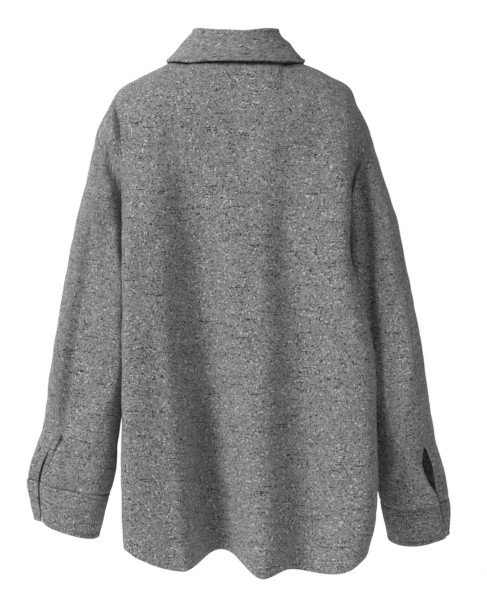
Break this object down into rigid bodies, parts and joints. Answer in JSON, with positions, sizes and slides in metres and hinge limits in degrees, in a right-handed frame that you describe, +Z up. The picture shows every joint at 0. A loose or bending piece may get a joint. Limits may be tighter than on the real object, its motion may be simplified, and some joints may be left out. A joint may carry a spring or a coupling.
{
  "type": "shacket",
  "caption": "Oversized long-sleeved overshirt in mottled tweed, hollow as if worn, with a turned-down collar, a buttoned front, open cuffs and a curved hem.",
  "frame": {"origin": "between the shoulders, level with the collar seam at the back of the neck, where the wearer holds the garment", "axes": "+X to the wearer's left, -Y to the front, +Z up"},
  "size_m": [0.6236, 0.2656, 0.7914],
  "materials": {
    "tweed": "matte mottled grey tweed",
    "button_horn": "satin horn-coloured resin"
  },
  "bodies": {
    "root": {"back": "tweed", "front_left": "tweed", "front_right": "tweed", "front_band": "tweed", "sleeve_left": "tweed", "sleeve_right": "tweed", "placket_left": "tweed", "placket_right": "tweed", "cuff_left": "tweed", "cuff_right": "tweed", "collar_stand": "tweed", "collar_fall": "tweed", "button_front_1": "button_horn", "button_front_2": "button_horn", "button_front_3": "button_horn", "button_front_4": "button_horn", "button_front_5": "button_horn", "button_front_6": "button_horn", "button_collar": "button_horn", "button_cuff_left": "button_horn", "button_cuff_right": "button_horn"}
  },
  "joints": []
}
